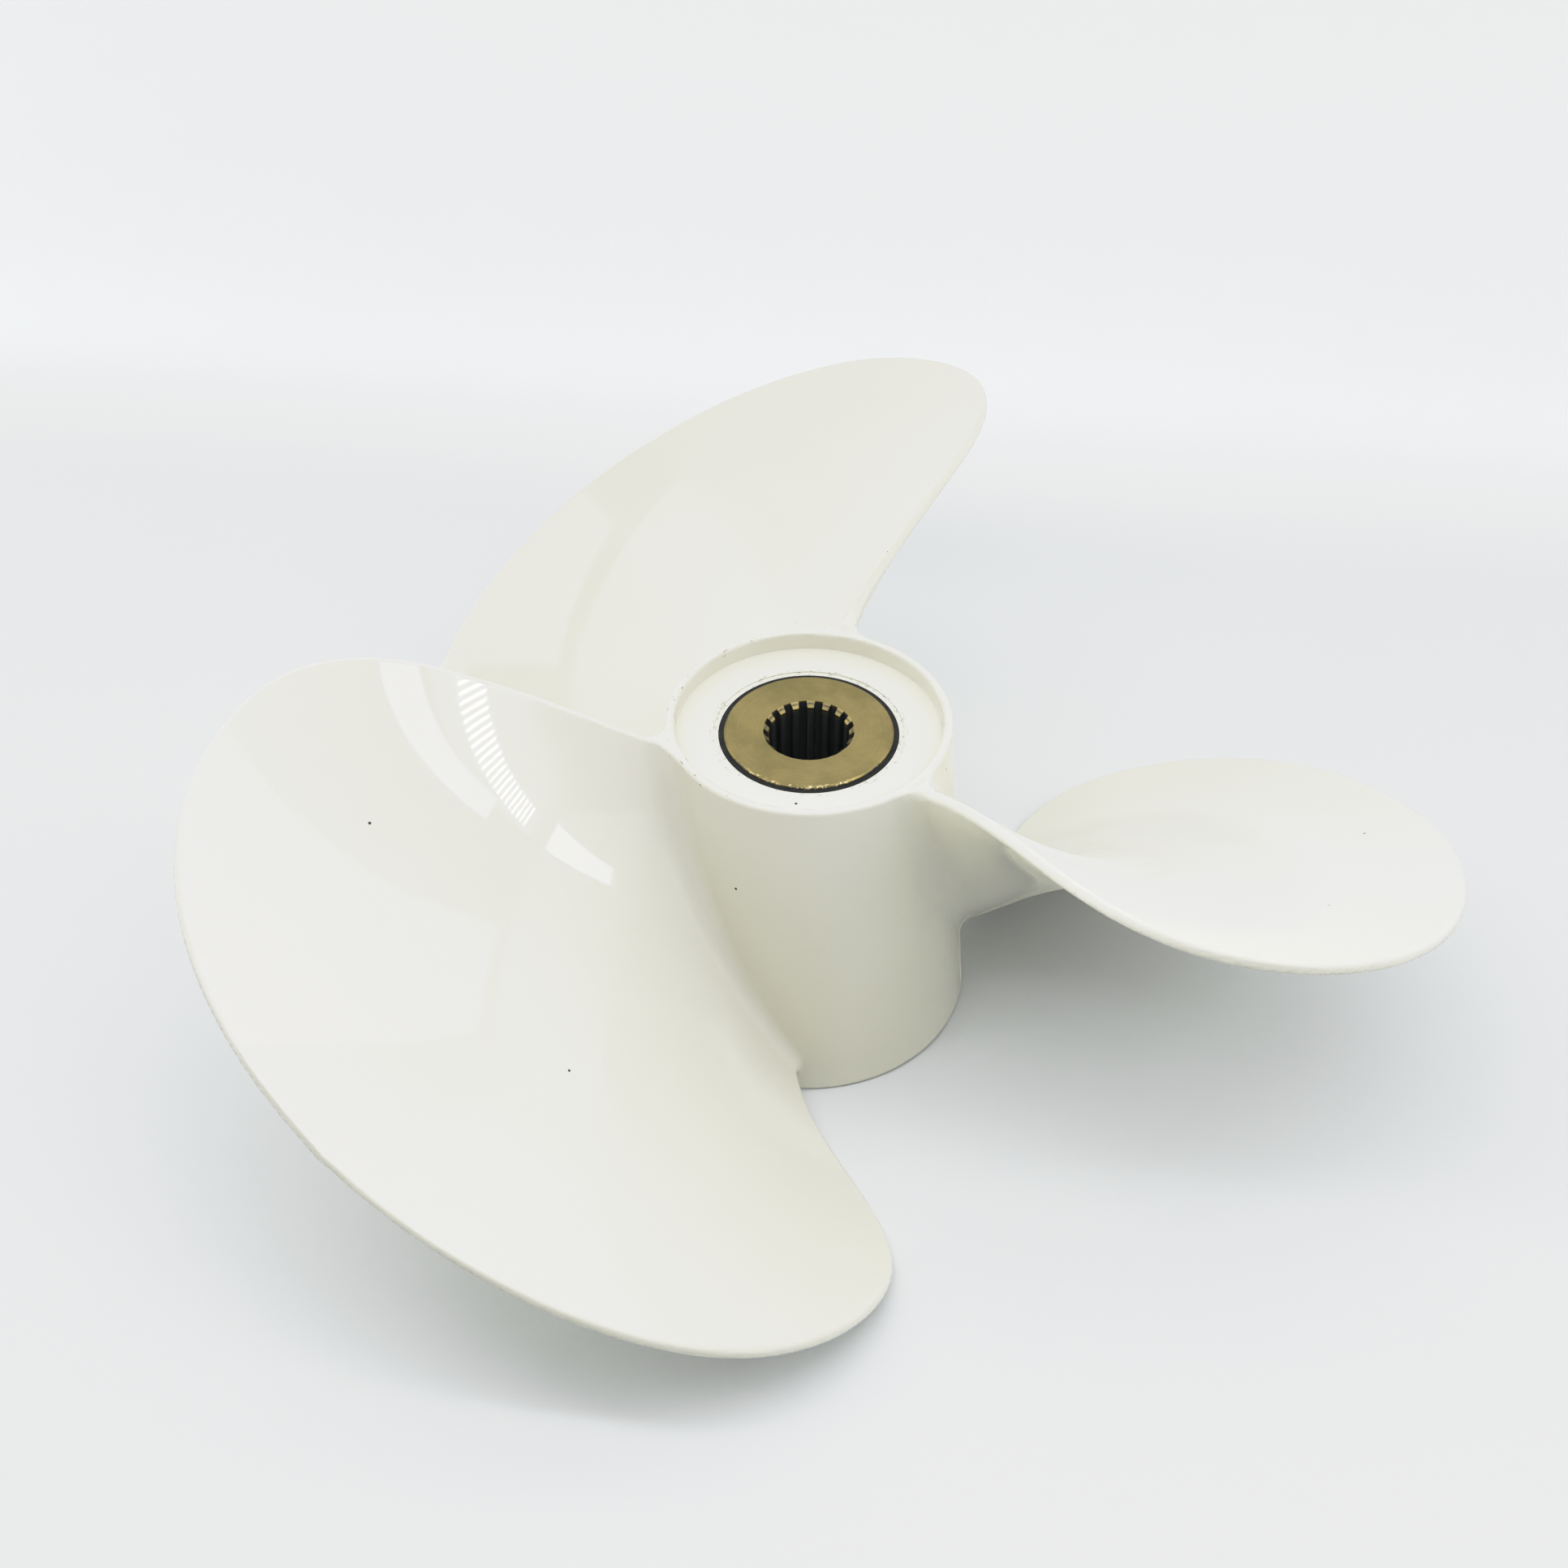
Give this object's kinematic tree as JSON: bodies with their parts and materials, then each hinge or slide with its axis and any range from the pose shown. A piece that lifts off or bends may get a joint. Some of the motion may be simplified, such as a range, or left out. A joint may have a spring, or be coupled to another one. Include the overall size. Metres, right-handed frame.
{
  "type": "boat propeller",
  "caption": "Left-hand boat propeller: painted aluminium hub and blades in one casting, with a splined brass sleeve cushioned in a rubber bush.",
  "frame": {"origin": "centre of the hub's forward end face, on the shaft axis", "axes": "+Z aft along the shaft axis, +X along the centre line of one blade"},
  "size_m": [0.3493, 0.3649, 0.1412],
  "materials": {
    "white_paint": "gloss",
    "brass": "tarnished, machined",
    "rubber": "matt"
  },
  "bodies": {
    "drive_hub": {"splined_sleeve": "brass", "rubber_bush": "rubber"},
    "casting": {"propeller_casting": "white_paint"}
  },
  "joints": [
    {"name": "bush_wind_up", "type": "hinge", "parent": "drive_hub", "child": "casting", "pos_m": [0, 0, 0], "axis": [0, 0, 1], "range_deg": [-8, 8]}
  ]
}
